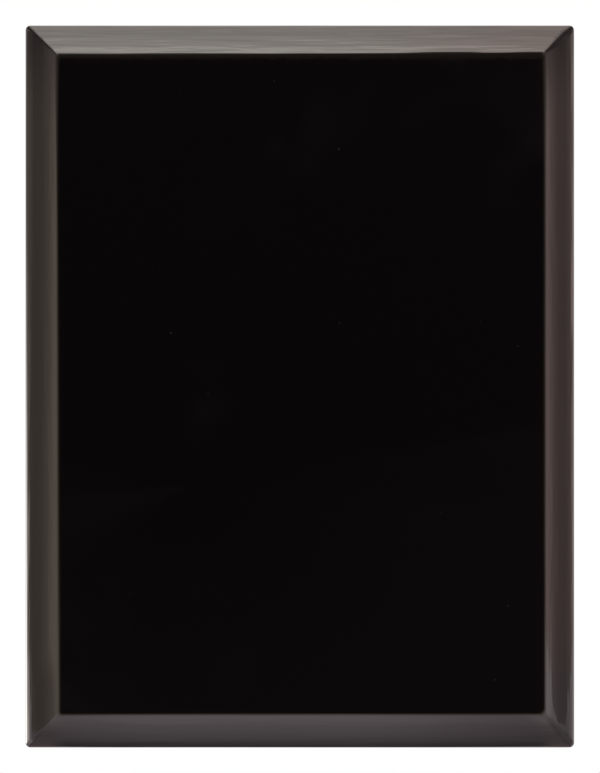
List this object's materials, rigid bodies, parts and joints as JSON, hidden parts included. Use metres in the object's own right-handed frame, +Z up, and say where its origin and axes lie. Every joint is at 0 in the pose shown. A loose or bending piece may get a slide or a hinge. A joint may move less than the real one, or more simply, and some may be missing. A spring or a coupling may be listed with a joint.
{
  "type": "wall plaque",
  "caption": "Blank rectangular wall plaque with a polished black bevelled face, hung upright or sideways from recessed keyhole hangers on its back and held off the wall by rubber bumpers.",
  "frame": {"origin": "centre of the upright hanger's round keyhole entry, on the plane of the board's back", "axes": "+Z up as it hangs upright, +Y out of the back towards the wall, the polished face looks along -Y"},
  "size_m": [0.2032, 0.0215, 0.2674],
  "materials": {
    "board": "raw medium-density fibreboard",
    "lacquer": "buffed black polyester lacquer, mirror gloss",
    "backing": "satin black melamine sheet with a fine grain",
    "hanger_steel": "zinc-plated stamped steel",
    "screw_steel": "zinc-plated steel",
    "bumper_rubber": "matt black rubber"
  },
  "bodies": {
    "root": {"core_board": "board", "lacquer_shell": "lacquer", "backing_sheet": "backing", "portrait_hanger": "hanger_steel", "landscape_hanger": "hanger_steel", "portrait_screw_upper": "screw_steel", "portrait_screw_lower": "screw_steel", "landscape_screw_outer": "screw_steel", "landscape_screw_inner": "screw_steel", "bumper_top_left": "bumper_rubber", "bumper_top_right": "bumper_rubber", "bumper_bottom_left": "bumper_rubber", "bumper_bottom_right": "bumper_rubber"}
  },
  "joints": []
}
